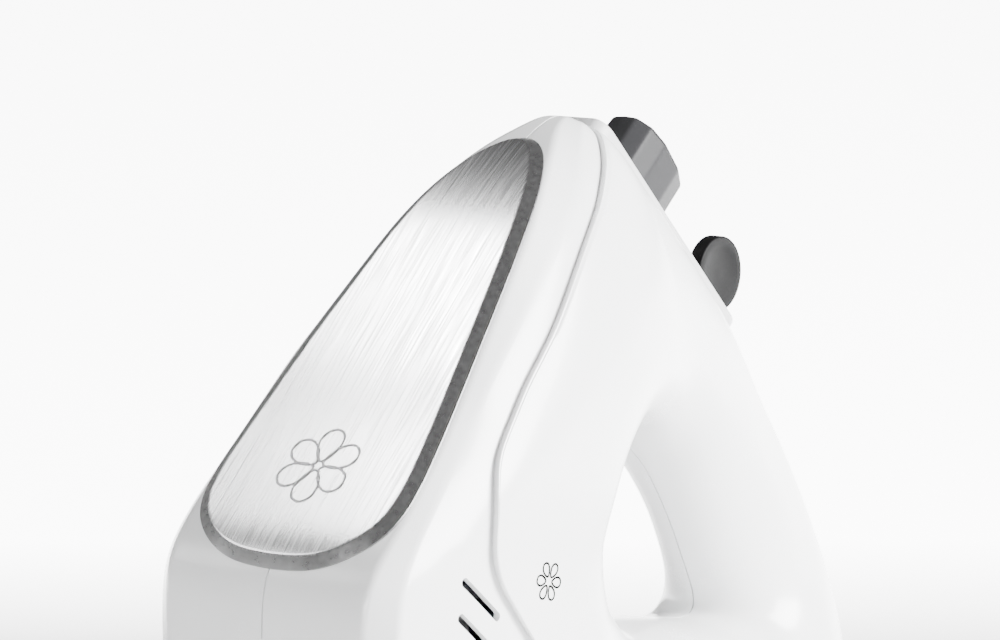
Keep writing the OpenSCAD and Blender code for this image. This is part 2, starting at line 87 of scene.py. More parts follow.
# The nose covers the front of the loop: section number, crease half width, crease depth,
# depth of the step down to the nose, half width of the flat that carries the panel.
NOSE = np.array([
    [-5.8, 22, 0.4, 0, 16],
    [-5.4, 26, 0.9, 12, 20],
    [-5, 29, 1.5, 22, 23],
    [-4, 30, 2.5, 44, 24],
    [-3, 31, 3.5, 56, 25],
    [-2, 33, 4.5, 54, 26],
    [-1, 34.2, 5.4, 49, 27],
    [0, 34.6, 6, 42, 28],
    [1, 34.4, 6, 33.5, 29],
    [2, 33.4, 4, 22.5, 29.3],
    [3, 31, 3, 9.9, 28.4],
    [4, 29.2, 2.9, 9.6, 25.8],
    [5, 26.5, 4.3, 11.2, 22.6],
    [6, 23, 5.8, 11.6, 19],
    [7, 18, 6, 11.5, 11.6],
    [8, 11, 3.4, 8.6, 5],
    [9, 6, 1.2, 3.6, 2],
    [9.4, 3, 0.3, 0, 1]])
STEP = 2.0
SEAM = 0.2
SEAM_DEPTH = 1.3
WALL = 1.8

# Half width of the panel against the distance from its lower end, along the front
PANEL = np.array([
    [0, 0], [0.5, 9], [1.6, 13.6], [3, 17], [5.2, 20.6], [8.5, 24.4], [11.5, 26.6],
    [15.4, 28.3], [20, 29], [27, 29], [38, 27.9], [49, 26.6], [60, 25.2], [71, 23.6],
    [82.2, 21.9], [93.2, 20.2], [104.5, 17.9], [112, 15.8], [118.5, 13.3], [124, 10.5],
    [128, 7.6], [130.6, 4.8], [132, 2.4], [132.5, 0]])
PANEL_T = 2.0
PANEL_BEVEL = 2.9

STRIP_O = np.array([34.5, 134.6])
STRIP_TILT = math.radians(46.8)
STRIP_L, STRIP_W, STRIP_TOP_W = 77.0, 26.0, 18.0
BUTTON_C = np.array([27.0, 142.0])
BUTTON_TILT = math.radians(50)
BUTTON_L, BUTTON_W, BUTTON_H = 27.0, 17.0, 15.5
SLIDER_S, TAB_X, TAB_R, TAB_T, TAB_H = 27.0, 7.0, 9.5, 4.0, 8.0
SCREWS = [(-97, 46), (-20, 95), (55, 88), (97, 30), (36, 20)]
SOCKET_X, SOCKET_Y = 17.8, -62.0
GLAND_Z = 21.0
SIDE_MARK = np.array([-56.3, 64.3])

# The eye stands this far from the point it looks at, at this angle round and above
EYE_AZIMUTH, EYE_ELEVATION = math.radians(36.7), math.radians(8)
EYE_DISTANCE, LENS = 1110.0, 168.5
LOOK_AT = np.array([0.0, -21.2, 117.1])


# ---------------------------------------------------------------- the housing's surfaces
def cubic_rows(table, u):
    """Rows between the table's rows: the cubic through four neighbours, periodic in u."""
    n, i = len(table), np.floor(u).astype(int)
    t = (u - i)[:, None]
    a, b, c, d = (table[(i + k) % n] for k in (-1, 0, 1, 2))
    return 0.5 * (2 * b + (c - a) * t + (2 * a - 5 * b + 4 * c - d) * t**2
                  + (3 * b - a - 3 * c + d) * t**3)


FINE = 40
_u = np.arange(len(STATIONS) * FINE) / FINE
_kernel = np.exp(-0.5 * (np.arange(-2 * FINE, 2 * FINE + 1) / (0.34 * FINE)) ** 2)
_rows = cubic_rows(STATIONS, _u)
_wide = np.concatenate([_rows[-2 * FINE:], _rows, _rows[:2 * FINE]])
TRACKS = np.stack([np.convolve(_wide[:, k], _kernel / _kernel.sum(), "valid")
                   for k in range(8)], 1)


def tracks(u):
    """The eight section values at u, faired: the cubic rows averaged with a short bell."""
    n = len(TRACKS)
    f = (np.asarray(u, float) * FINE) % n
    i = np.floor(f).astype(int)
    t = (f - i)[:, None]
    return TRACKS[i % n] * (1 - t) + TRACKS[(i + 1) % n] * t


def nose_tracks(u):
    """Crease half width and depth, step depth and flat half width, eased between the keys."""
    fine = np.linspace(NOSE[0, 0], NOSE[-1, 0], 1521)
    bell = np.exp(-0.5 * (np.arange(-60, 61) / 22) ** 2)
    out = []
    for k in range(1, 5):
        raw = np.interp(fine, NOSE[:, 0], NOSE[:, k])
        pad = np.concatenate([2 * raw[0] - raw[60:0:-1], raw, 2 * raw[-1] - raw[-2:-62:-1]])
        out.append(np.interp(u, fine, np.convolve(pad, bell / bell.sum(), "valid")))
    return np.stack(out, 1)


def section_frame(s):
    """Outer middle point, unit direction to the inner one and their distance, per section."""
    o, i = s[:, 0:2], s[:, 2:4]
    d = np.linalg.norm(i - o, axis=1)
    return o, (i - o) / d[:, None], d


def lift(o, e, depth, x):
    """Points in space from depths along the section and distances from the centre plane."""
    yz = o[:, None, :] + e[:, None, :] * depth[..., None]
    return np.concatenate([x[..., None], yz], axis=-1)


def step_depth(u):
    """Depth of the step below the outer middle line, 0 away from the nose."""
    v = np.where(u > 20, u - len(STATIONS), u)
    inside = (v > NOSE[0, 0]) & (v < NOSE[-1, 0])
    return np.where(inside, np.maximum(nose_tracks(np.clip(v, -5.8, 9.4))[:, 2], 0), 0)


def main_shell(rows, cols):
    """x = w sin(f)^(2/p), depth = m (1 - cos(f)^(2/p)) outside the widest point and the same
    with the inner roundness inside it; f starts where the step to the nose is."""
    u = np.linspace(0, len(STATIONS), rows, endpoint=False)
    s = tracks(u)
    o, e, d = section_frame(s)
    w, m, p, q = s[:, 4], d * s[:, 5], s[:, 6], s[:, 7]
    db = step_depth(u)
    f0 = np.arccos(np.clip(1 - db / m, 0, 1) ** (p / 2))
    f = f0[:, None] + (math.pi / 2 - f0[:, None]) * np.linspace(0, 1, cols)[None, 1:]
    g = np.linspace(math.pi / 2, math.pi, cols)[None, 1:]
    xo = w[:, None] * np.sin(f) ** (2 / p[:, None])
    so = m[:, None] * (1 - np.clip(np.cos(f), 0, 1) ** (2 / p[:, None]))
    xi = w[:, None] * np.clip(np.sin(g), 0, 1) ** (2 / q[:, None])
    si = m[:, None] + (d - m)[:, None] * np.clip(-np.cos(g), 0, 1) ** (2 / q[:, None])
    b = w * np.sin(f0) ** (2 / p)
    lip = np.minimum(STEP, b)
    x0 = np.stack([np.maximum(0.02, b - lip - 0.4), np.maximum(0.02, b - lip),
                   np.maximum(SEAM, b - 0.45), np.maximum(SEAM + 0.05, b - 0.12), b], 1)
    s0 = np.stack([db + 1.2, db + 0.7, db, db + 0.1, db + 0.38], 1)
    s0[:, :2] = np.where(b[:, None] > 2.2, s0[:, :2], db[:, None] + [SEAM_DEPTH + 0.6, SEAM_DEPTH])
    s0[:, 4] = np.where(b > 0.6, s0[:, 4], 0.02)
    x0[:, 4] = np.maximum(x0[:, 4], SEAM + 0.12)
    keep = so > s0[:, 4:5] + 0.01
    so = np.where(keep, so, s0[:, 4:5] + 0.01)
    xo = np.where(keep, xo, np.maximum(xo, x0[:, 4:5]))
    xi[:, -1] = SEAM
    x1 = np.stack([np.full(rows, 0.02), np.full(rows, 0.02)], 1)
    s1 = np.stack([d - SEAM_DEPTH, d - SEAM_DEPTH - 0.6], 1)
    return lift(o, e, np.concatenate([s0, so, si, s1], 1),
                np.concatenate([x0, xo, xi, x1], 1))


def rounded(points, radii, turns=6):
    """A polyline per row with its inner corners replaced by parabolas of the given reach."""
    out = [points[:, :1]]
    for k in range(1, points.shape[1] - 1):
        a, b, c = points[:, k - 1], points[:, k], points[:, k + 1]
        la, lc = (np.linalg.norm(v, axis=1)[:, None] for v in (a - b, c - b))
        reach = np.minimum(radii[k - 1], 0.45 * np.minimum(la, lc))
        p, r = b + (a - b) / la * reach, b + (c - b) / lc * reach
        t = np.linspace(0, 1, turns)[None, :, None]
        out.append((1 - t) ** 2 * p[:, None] + 2 * t * (1 - t) * b[:, None]
                   + t**2 * r[:, None])
    out.append(points[:, -1:])
    return np.concatenate(out, 1)


def refined(points, times):
    """Each span of each row divided into equal parts."""
    t = np.linspace(0, 1, times, endpoint=False)[None, None, :, None]
    body = points[:, :-1, None] * (1 - t) + points[:, 1:, None] * t
    flat = body.reshape(points.shape[0], -1, points.shape[2])
    return np.concatenate([flat, points[:, -1:]], 1)


def nose_shell(rows):
    """Across: seam lip, flat for the panel, rounded crease, gently bowed side, and a margin
    that runs on under the step; along: the front of the loop."""
    u = NOSE[0, 0] + (NOSE[-1, 0] - NOSE[0, 0]) * np.linspace(0.001, 0.999, rows)
    s = tracks(u % len(STATIONS))
    o, e, d = section_frame(s)
    a, da, db, c = nose_tracks(u).T
    m, p = d * s[:, 5], s[:, 6]
    db = np.maximum(db, 0.02)
    f0 = np.arccos(np.clip(1 - db / m, 0, 1) ** (p / 2))
    b = s[:, 4] * np.sin(f0) ** (2 / p)
    edge = np.maximum(b - STEP, 0.3)
    a = np.minimum(a, edge * 0.985)
    c = np.minimum(c, a * 0.93)
    da = np.minimum(da, db * 0.6)
    bow = 0.9 * np.clip((db - 6) / 20, 0, 1)
    x = np.stack([np.full(rows, 0.02), np.full(rows, SEAM), c * 0.5 + 0.1, c, a,
                  a * 0.66 + edge * 0.34 + bow, a * 0.33 + edge * 0.67 + bow, edge,
                  edge + 0.1], 1)
    depth = np.stack([np.full(rows, SEAM_DEPTH), 0 * u, 0 * u + 0.01, 0 * u + 0.02, da,
                      da * 0.67 + db * 0.33, da * 0.33 + db * 0.67, db + 0.1, db + 2.4], 1)
    flat = np.stack([x, depth], -1)
    flat = rounded(flat, [0.08, 1, 1.6, 1.3, 9, 9, 0.3])
    flat = refined(flat, 2)
    return lift(o, e, flat[..., 1], flat[..., 0])


# ---------------------------------------------------------------- making meshes
def grid_faces(nu, nv, wrap_u=False, wrap_v=False, start=0):
    """Quads of a grid whose rows run nu and whose columns run nv."""
    i, j = np.meshgrid(np.arange(nu - (not wrap_u)), np.arange(nv - (not wrap_v)),
                       indexing="ij")
    k, l = (i + 1) % nu, (j + 1) % nv
    return start + np.stack([i * nv + j, i * nv + l, k * nv + l, k * nv + j],
                            -1).reshape(-1, 4)


def mesh_object(name, parts, body, node=None, finish=None, merge=1e-6,
                angle=35.0):
    """One object from (points in millimetres, faces) parts, with doubles merged."""
    points, faces, start = [], [], 0
    for p, f in parts:
        p = np.asarray(p, float).reshape(-1, 3)
        points.append(p)
        faces += (f + start).tolist() if isinstance(f, np.ndarray) else [
            [start + i for i in face] for face in f]
        start += len(p)
    mesh = bpy.data.meshes.new(name)
    mesh.from_pydata(np.concatenate(points) * MM, [], faces)
    bm = bmesh.new()
    bm.from_mesh(mesh)
    bmesh.ops.remove_doubles(bm, verts=bm.verts, dist=merge)
    bmesh.ops.dissolve_degenerate(bm, edges=bm.edges, dist=merge)
    bm.to_mesh(mesh)
    bm.free()
    mesh.polygons.foreach_set("use_smooth", np.ones(len(mesh.polygons), bool))
    mesh.set_sharp_from_angle(angle=math.radians(angle))
    mesh.update()
    thing = bpy.data.objects.new(name, mesh)
    bpy.context.scene.collection.objects.link(thing)
    if finish:
        mesh.materials.append(finish)
    if body:
        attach(thing, body)
        if node:
            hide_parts(*([node] if isinstance(node, str) else node))
    return thing


def turned_outwards(thing):
    """Recalculates the normals of a closed mesh."""
    bm = bmesh.new()
    bm.from_mesh(thing.data)
    bmesh.ops.recalc_face_normals(bm, faces=bm.faces)
    bm.to_mesh(thing.data)
    bm.free()
    return thing


def settled(thing, angle=35.0):
    """Applies the live modifiers to the mesh."""
    bpy.context.view_layer.update()
    mesh = bpy.data.meshes.new_from_object(
        thing.evaluated_get(bpy.context.evaluated_depsgraph_get()))
    thing.modifiers.clear()
    thing.data = mesh
    mesh.polygons.foreach_set("use_smooth", np.ones(len(mesh.polygons), bool))
    mesh.set_sharp_from_angle(angle=math.radians(angle))
    return thing


def cut_away(thing, cutters, angle=35.0):
    """Takes the cutters' space out of the piece and removes them."""
    for cutter in cutters:
        turned_outwards(cutter)
        m = thing.modifiers.new("cut", "BOOLEAN")
        m.operation, m.solver, m.object = "DIFFERENCE", "EXACT", cutter
    settled(thing, angle)
    for cutter in cutters:
        bpy.data.objects.remove(cutter)
    return thing


def capped(rings):
    """A closed skin through a stack of rings, with its first and last ring as faces."""
    n, k, _ = rings.shape
    return [(rings, grid_faces(n, k, wrap_v=True).tolist()
             + [list(range(k - 1, -1, -1)), list(range((n - 1) * k, n * k))])]


def outline(l, w, corner, n=96):
    """Rounded rectangle: its corners are quarter circles; returns points and unit normals."""
    a = np.linspace(0, 2 * math.pi, n, endpoint=False) + math.pi / n
    centre = np.stack([np.sign(np.cos(a)) * (w / 2 - corner),
                       np.sign(np.sin(a)) * (l / 2 - corner)], 1)
    normal = np.stack([np.cos(a), np.sin(a)], 1)
    return centre + corner * normal, normal


def plate_rings(l, w, corner, levels, n=96):
    """Rings of a plate: each level is (height, inset of the outline)."""
    p, nrm = outline(l, w, corner, n)
    return np.stack([np.concatenate([p - nrm * inset, np.full((n, 1), h)], 1)
                     for h, inset in levels])


def rolled(h0, h1, r, steps=5):
    """Levels of a wall from h0 to h1 with both rims rounded by r."""
    t = np.linspace(0, math.pi / 2, steps)
    low = [(h0 + r * (1 - math.sin(a)), r * (1 - math.cos(a))) for a in t[::-1]]
    high = [(h1 - r * (1 - math.sin(a)), r * (1 - math.cos(a))) for a in t]
    return low + high


def tilted(points, origin, tilt, along=0.0, out=0.0):
    """Local X across, Y along the handle and Z out of it, turned about X into place."""
    p = np.asarray(points, float)
    y, z = p[..., 1] + along, p[..., 2] + out
    c, s = math.cos(tilt), math.sin(tilt)
    return np.stack([p[..., 0], origin[0] + y * c + z * s, origin[1] - y * s + z * c], -1)


def revolved(profile, n=72):
    """Rings of a profile of (radius, height) turned about Z."""
    a = np.linspace(0, 2 * math.pi, n, endpoint=False)
    pr = np.asarray(profile, float)
    return np.stack([pr[:, :1] * np.cos(a), pr[:, :1] * np.sin(a),
                     pr[:, 1:2] + 0 * a], -1)


# ---------------------------------------------------------------- materials
class Wire:
    """A socket in a node tree. Arithmetic between wires and numbers adds Math nodes."""

    def __init__(self, tree, socket):
        self.tree, self.socket = tree, socket

    def math(self, operation, *values):
        n = self.tree.nodes.new("ShaderNodeMath")
        n.operation = operation
        for k, v in enumerate(values):
            if isinstance(v, Wire):
                self.tree.links.new(v.socket, n.inputs[k])
            else:
                n.inputs[k].default_value = v
        return Wire(self.tree, n.outputs[0])

    def __add__(self, o):
        return self.math("ADD", self, o)

    __radd__ = __add__

    def __mul__(self, o):
        return self.math("MULTIPLY", self, o)

    __rmul__ = __mul__

    def __sub__(self, o):
        return self.math("SUBTRACT", self, o)

    def __rsub__(self, o):
        return self.math("SUBTRACT", o, self)

    def __truediv__(self, o):
        return self.math("DIVIDE", self, o)

    def __abs__(self):
        return self.math("ABSOLUTE", self)

    def clamp(self):
        return self.math("MINIMUM", self.math("MAXIMUM", self, 0.0), 1.0)


class Finish:
    """A material under construction around one Principled shader."""

    def __init__(self, name, color, rough, metal=0.0, **constants):
        self.mat = bpy.data.materials.new(name)
        self.mat.use_nodes = True
        self.tree = self.mat.node_tree
        self.shader = self.tree.nodes["Principled BSDF"]
        self.feed("Base Color", (*color, 1.0))
        self.feed("Roughness", rough)
        self.feed("Metallic", metal)
        for key, value in constants.items():
            self.feed(key.replace("_", " ").title().replace("Ior", "IOR"), value)
        self.mat.diffuse_color = (*color, 1.0)

    def feed(self, name, value):
        target = self.shader.inputs[name]
        if isinstance(value, Wire):
            self.tree.links.new(value.socket, target)
        else:
            target.default_value = value

    def node(self, kind, settings=None, out=0, **inputs):
        """Adds a node: settings are set first, then the values or links of its sockets."""
        n = self.tree.nodes.new("ShaderNode" + kind)
        for key, value in (settings or {}).items():
            setattr(n, key, value)
        for key, value in inputs.items():
            names = [i for i in n.inputs if i.name.replace(" ", "_") == key and i.enabled]
            target = names[0] if names else n.inputs[int(key[1:])]
            if isinstance(value, Wire):
                self.tree.links.new(value.socket, target)
            else:
                target.default_value = value
        return Wire(self.tree, n.outputs[out])

    def place(self, scale=(1, 1, 1), turn=(0, 0, 0), uv=False):
        """Object coordinates, or the piece's own map, stretched by scale."""
        base = self.node("UVMap", {"uv_map": "sheet"}) if uv else self.node("TexCoord", out=3)
        return self.node("Mapping", Vector=base, Scale=scale, Rotation=turn)

    def noise(self, scale, detail=3.0, rough=0.5, at=None):
        return self.node("TexNoise", Vector=at or self.place(), Scale=scale, Detail=detail,
                         Roughness=rough)

    def mix(self, factor, a, b):
        n = self.tree.nodes.new("ShaderNodeMix")
        n.data_type = "RGBA"
        for socket, value in zip((n.inputs[0], n.inputs[6], n.inputs[7]), (factor, a, b)):
            if isinstance(value, Wire):
                self.tree.links.new(value.socket, socket)
            else:
                socket.default_value = value if isinstance(value, float) else (*value, 1.0)
        return Wire(self.tree, n.outputs[2])

    def bump(self, height, distance, strength=1.0):
        self.feed("Normal", self.node("Bump", Height=height, Distance=distance,
                                      Strength=strength))


def moulded(name, color, rough, grain=0.00002, grain_scale=2600.0, **constants):
    """Injection-moulded plastic: a fine skin texture, faint flow shading, gloss that varies."""
    f = Finish(name, color, rough, **constants)
    fine, cloud = f.noise(grain_scale, 2.0), f.noise(38.0, 3.0)
    dark = tuple(c * 0.955 for c in color)
    f.feed("Base Color", f.mix(cloud, dark, color))
    f.feed("Roughness", (cloud - 0.5) * 0.08 + (fine - 0.5) * 0.05 + rough)
    f.bump(fine, grain, 0.35)
    return f.mat


def worked_metal(name, color, rough, scale=900.0, stretch=(1, 1, 1)):
    """Machined or drawn metal: fine scratches in the stretch direction and dull patches."""
    f = Finish(name, color, rough, 1.0)
    lines = f.noise(scale, 4.0, at=f.place(stretch))
    patch = f.noise(120.0, 3.0)
    f.feed("Base Color", f.mix(patch, tuple(c * 0.8 for c in color), color))
    f.feed("Roughness", (lines - 0.5) * 0.3 + (patch - 0.5) * 0.15 + rough)
    f.bump(lines, 0.00003, 0.5)
    return f.mat


def brushed_panel():
    """Brushed sheet: hair lines that run along the panel in its own map, in three widths.
    The sheet's colour darkens towards its narrow end: painted shade, in place of the darker
    reflection that end shows."""
    f = Finish("brushed_panel", (0.74, 0.74, 0.745), 0.33, 1.0)
    hair = f.noise(1.0, 2.0, at=f.place((2600, 26, 1), uv=True))
    wide = f.noise(1.0, 2.0, at=f.place((620, 9, 1), uv=True))
    dash = f.noise(1.0, 1.0, at=f.place((1500, 70, 1), uv=True))
    tone = (hair * 0.5 + wide * 0.3 + dash * 0.2 - 0.5) * 2.4 + 0.5
    metal = f.mix(tone.clamp(), (0.56, 0.56, 0.565), (0.86, 0.86, 0.865))
    height = f.node("SeparateXYZ", out=1, Vector=f.place(uv=True))
    # Painted shade: the colour darkens towards the narrow end, in place of the darker reflection
    # there.
    top = ((height - 0.094) * 28.0).clamp()
    f.feed("Base Color", f.mix(top * 0.75, metal, (0.22, 0.22, 0.222)))
    f.feed("Roughness", (hair - 0.5) * 0.3 + (dash - 0.5) * 0.2 + 0.25)
    f.bump(hair * 0.6 + dash * 0.4, 0.00002, 0.6)
    return f.mat


def bevel_metal():
    """The panel's cut edge: smoother metal with faint lines along the cut. Its colour, darker than
    the face, is painted shade for the chamfer's darker reflection.
    """
    # Painted shade: the dark metal colour stands in for the chamfer's darker reflection.
    f = Finish("panel_edge", (0.3, 0.3, 0.305), 0.3, 1.0)
    lines = f.noise(1.0, 3.0, at=f.place((700, 700, 700)))
    f.feed("Base Color", f.mix(lines, (0.3, 0.3, 0.303), (0.38, 0.38, 0.383)))
    f.feed("Roughness", (lines - 0.5) * 0.2 + 0.3)
    f.bump(lines, 0.00001, 0.4)
    return f.mat


WHITE = moulded("white_gloss_plastic", (0.86, 0.865, 0.87), 0.26, coat_weight=0.25,
                coat_roughness=0.12)
GREY = moulded("pale_grey_plastic", (0.5, 0.5, 0.505), 0.4)
DARK = moulded("dark_grey_plastic", (0.023, 0.023, 0.0245), 0.4, 0.00003, 1900.0,
               specular_ior_level=0.1)
BLACK = moulded("black_plastic", (0.004, 0.004, 0.0043), 0.5, 0.00003, 1900.0,
                specular_ior_level=0.08)
BASE_GREY = moulded("base_grey_plastic", (0.3, 0.3, 0.305), 0.45, 0.00004, 1500.0)
RUBBER = moulded("soft_rubber", (0.02, 0.02, 0.021), 0.62, 0.00005, 1200.0)
PRINT = moulded("black_print", (0.006, 0.006, 0.006), 0.6, 0.00001, 3000.0,
                specular_ior_level=0.05)
NYLON = moulded("gear_nylon", (0.75, 0.72, 0.62), 0.42)
BOARD = moulded("board_green", (0.02, 0.12, 0.05), 0.35)
CARBON = moulded("carbon", (0.03, 0.03, 0.032), 0.7, 0.00005, 900.0)
BRUSHED = brushed_panel()
EDGE = bevel_metal()
STEEL = worked_metal("bright_steel", (0.62, 0.62, 0.64), 0.28)
LAMINATION = worked_metal("lamination_steel", (0.4, 0.4, 0.42), 0.45, 1400.0, (0.2, 6, 0.2))
COPPER = worked_metal("enamelled_copper", (0.62, 0.25, 0.09), 0.3, 1600.0, (1, 8, 1))
BRONZE = worked_metal("bronze", (0.6, 0.4, 0.18), 0.38)

# ---------------------------------------------------------------- housing halves
MAIN_ROWS, NOSE_ROWS = 306, 180


def trimmed(thing, cuts):
    """Opens convex holes in a sheet: every cut is (a convex outline, the place and three
    directions of its plane, how deep it reaches). The faces near it are split along each
    side of the outline and the ones inside are taken out."""
    bm = bmesh.new()
    bm.from_mesh(thing.data)
    for shape, origin, axes, (lo, hi) in cuts:
        axes = np.array(axes, float)
        verts = list(bm.verts)
        bm.verts.index_update()
        local = (np.array([v.co for v in verts]) / MM - origin) @ axes.T
        near = (np.abs(local[:, 0] - shape[:, 0].mean()) < np.ptp(shape[:, 0]) / 2 + 2.5) \
            & (np.abs(local[:, 1] - shape[:, 1].mean()) < np.ptp(shape[:, 1]) / 2 + 2.5) \
            & (local[:, 2] > lo) & (local[:, 2] < hi)
        geom = [f for f in bm.faces if any(near[v.index] for v in f.verts)]
        geom = list({e for f in geom for e in f.edges} | {v for f in geom for v in f.verts}
                    | set(geom))
        outward = []
        for p, q in zip(shape, np.roll(shape, -1, 0)):
            side = q - p
            n2 = np.array([side[1], -side[0]]) / np.linalg.norm(side)
            co = origin + p @ axes[:2]
            no = n2 @ axes[:2]
            outward.append((p, n2))
            geom = bmesh.ops.bisect_plane(bm, geom=geom, dist=1e-7,
                                          plane_co=Vector(co * MM),
                                          plane_no=Vector(no))["geom"]
        faces = [f for f in geom if isinstance(f, bmesh.types.BMFace)]
        mid = (np.array([f.calc_center_median() for f in faces]) / MM - origin) @ axes.T
        inside = (mid[:, 2] > lo) & (mid[:, 2] < hi)
        for p, n2 in outward:
            inside &= (mid[:, :2] - p) @ n2 < 1e-4
        bmesh.ops.delete(bm, geom=[f for f, k in zip(faces, inside) if k],
                         context="FACES")
    bm.to_mesh(thing.data)
    bm.free()
    return thing


def stadium(l, w, corner, n):
    """The convex outline of a rounded rectangle, counter-clockwise."""
    return outline(l, w, corner, n)[0]


def tilted_axes(tilt):
    """Across, along and out of a tilted control."""
    c, s = math.cos(tilt), math.sin(tilt)
    return [[1, 0, 0], [0, c, -s], [0, s, c]]


def housing_cuts(side):
    """Vent slots, spindle holes, cord hole, screw holes and the handle's windows."""
    c, s = math.cos(math.radians(40)), math.sin(math.radians(40))
    slope = [[0, s, c], [0, c, -s], [-1, 0, 0]]
    cuts = [(stadium(17, 2.2, 1.09, 20) + [1.1, 8.5],
             np.array([0, -86 - 1.2 * i, 68 - 8 * i]), slope, (-60, -20))
            for i in range(5)]
    cuts.append((stadium(15.2, 15.2, 7.6, 36), np.array([SOCKET_X, SOCKET_Y, 0]),
                 np.eye(3), (-1, 9)))
    cuts.append((stadium(12.1, 12.1, 6.05, 32), np.array([0, 0, GLAND_Z]),
                 [[-1, 0, 0], [0, 0, 1], [0, 1, 0]], (70, 130)))
    axes = tilted_axes(STRIP_TILT)
    o = np.array([0, *STRIP_O])
    for l, w, along in ((27.6, 19.6, -8.9), (13.6, 23.8, 26.8)):
        cuts.append((stadium(l, w, 2, 16) + [0, along], o, axes, (-9, 4)))
    if side == "left":
        cuts += [(stadium(6.6, 6.6, 3.3, 24), np.array([0, y, z]),
                  [[0, 1, 0], [0, 0, 1], [1, 0, 0]], (8, 60)) for y, z in SCREWS]
    return cuts


def flipped(thing):
    """The mirror image through the centre plane, with its faces turned back outwards."""
    thing.data.transform(Matrix.Diagonal((-1, 1, 1, 1)))
    thing.data.flip_normals()
    return thing


def housing_half(side):
    """Both skins of one half with their slots and holes, given a wall; the left one is the
    mirror image."""
    main, nose = main_shell(MAIN_ROWS, 30), nose_shell(NOSE_ROWS)
    parts = [(main, grid_faces(*main.shape[:2], wrap_u=True)),
             (nose, grid_faces(*nose.shape[:2]))]
    half = mesh_object("housing_" + side, parts, "housing", "housing_" + side,
                       WHITE, 2e-6)
    bm = bmesh.new()
    bm.from_mesh(half.data)
    bmesh.ops.recalc_face_normals(bm, faces=bm.faces)
    bm.faces.ensure_lookup_table()
    seen = set()
    for face in bm.faces:
        if face in seen:
            continue
        sheet, front = {face}, [face]
        while front:
            front = [g for f in front for e in f.edges for g in e.link_faces
                     if g not in sheet and not sheet.add(g)]
        seen |= sheet
        widest = max(sheet, key=lambda f: f.calc_center_median().x)
        if widest.normal.x < 0:
            bmesh.ops.reverse_faces(bm, faces=list(sheet))
    bm.to_mesh(half.data)
    bm.free()
    trimmed(half, housing_cuts(side))
    m = half.modifiers.new("wall", "SOLIDIFY")
    m.thickness, m.offset, m.use_even_offset = WALL * MM, -1, False
    settled(half)
    return flipped(half) if side == "left" else half


right = housing_half("right")
left = housing_half("left")

# ---------------------------------------------------------------- front panel and its mark
_pu = np.linspace(0.6, 8.6, 2000)
_pf = tracks(_pu)[:, :2]
_arc = np.concatenate([[0], np.cumsum(np.linalg.norm(np.diff(_pf, axis=0), axis=1))])
_arc += 82.2 - np.interp(-49.5, _pf[:, 0], _arc)


def on_front(x, length, height):
    """A point by its distance across, its distance along the front and its height above."""
    y, z = (np.interp(length, _arc, _pf[:, k]) for k in (0, 1))
    ty, tz = (np.interp(length, _arc, np.gradient(_pf[:, k], _arc)) for k in (0, 1))
    n = np.hypot(ty, tz)
    return np.stack([x, y - height * tz / n, z + height * ty / n], -1)


def panel_outline(n):
    """The panel's closed outline by equal steps of arc, and its outward normals."""
    half = np.concatenate([PANEL[:, ::-1], PANEL[-2:0:-1, ::-1] * [-1, 1]])
    loop = np.concatenate([half, half[:1]])
    d = np.concatenate([[0], np.cumsum(np.linalg.norm(np.diff(loop, axis=0), axis=1))])
    t = np.linspace(0, d[-1], n, endpoint=False)
    p = np.stack([np.interp(t, d, loop[:, k]) for k in (0, 1)], 1)
    for _ in range(10):
        p = 0.25 * np.roll(p, 1, 0) + 0.5 * p + 0.25 * np.roll(p, -1, 0)
    g = np.roll(p, -1, 0) - np.roll(p, 1, 0)
    g /= np.linalg.norm(g, axis=1)[:, None]
    return p, np.stack([g[:, 1], -g[:, 0]], 1)


